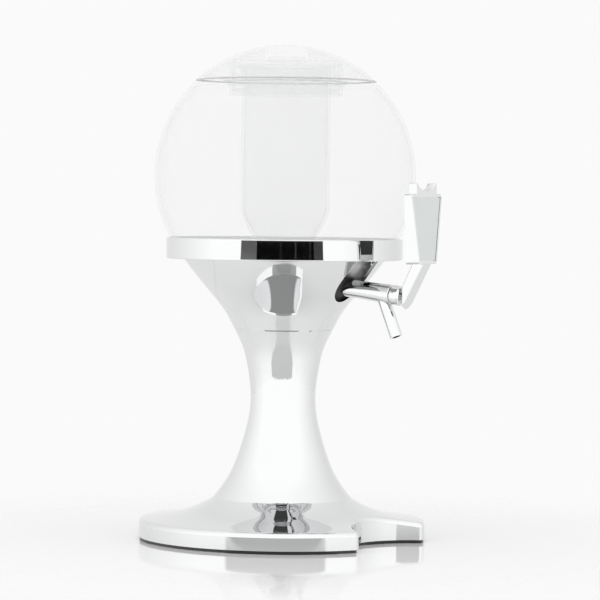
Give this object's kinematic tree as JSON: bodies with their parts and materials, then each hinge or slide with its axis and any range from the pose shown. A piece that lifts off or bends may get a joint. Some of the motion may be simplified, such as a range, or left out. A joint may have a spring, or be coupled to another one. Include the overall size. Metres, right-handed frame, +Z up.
{
  "type": "draft beer dispenser",
  "caption": "Clear ball-shaped drink dispenser with an ice tube under its lid, a chromed quarter-turn tap with a crowned lever, and a flared pedestal with a notch for the glass.",
  "frame": {"origin": "on the globe's axis, at the underside of the base plate, which is the floor", "axes": "+Z up along the globe's axis, +X along the tap, towards the glass notch"},
  "size_m": [0.2463, 0.2254, 0.3878],
  "materials": {
    "clear_plastic": "clear polished moulded plastic",
    "chrome": "bright chrome plating on moulded plastic",
    "black_plastic": "black moulded plastic",
    "black_rubber": "black rubber",
    "clear_silicone": "milky silicone rubber",
    "grey_panel": "plain satin grey",
    "white_plastic": "white moulded plastic",
    "screw_steel": "plain steel"
  },
  "bodies": {
    "stand": {"globe": "clear_plastic", "bowl": "clear_plastic", "globe_gasket": "clear_silicone", "collar_ring": "chrome", "collar_screws": "screw_steel", "upper_body": "chrome", "lower_body": "chrome", "base_plate": "black_plastic", "base_screws": "screw_steel", "tap_body": "chrome", "tap_grommet": "black_rubber", "tap_washer": "clear_silicone", "tap_nut": "white_plastic"},
    "lid": {"lid": "clear_plastic", "lid_seal": "clear_silicone"},
    "ice_tube": {"ice_tube": "clear_plastic"},
    "lever": {"lever": "chrome", "handle_panel": "grey_panel", "lever_back": "black_plastic", "tap_plug": "chrome", "plug_o_rings": "black_rubber"}
  },
  "joints": [
    {"name": "lid_lift", "type": "slide", "parent": "stand", "child": "lid", "axis": [0, 0, 1], "range_m": [0, 0.2]},
    {"name": "ice_tube_twist", "type": "hinge", "parent": "lid", "child": "ice_tube", "pos_m": [0, 0, 0.3484], "axis": [0, 0, 1], "range_deg": [0, 60]},
    {"name": "lever_turn", "type": "hinge", "parent": "stand", "child": "lever", "pos_m": [0.05999, 0, 0.199], "axis": [0.9945, 0, -0.1045], "range_deg": [0, 90]}
  ]
}
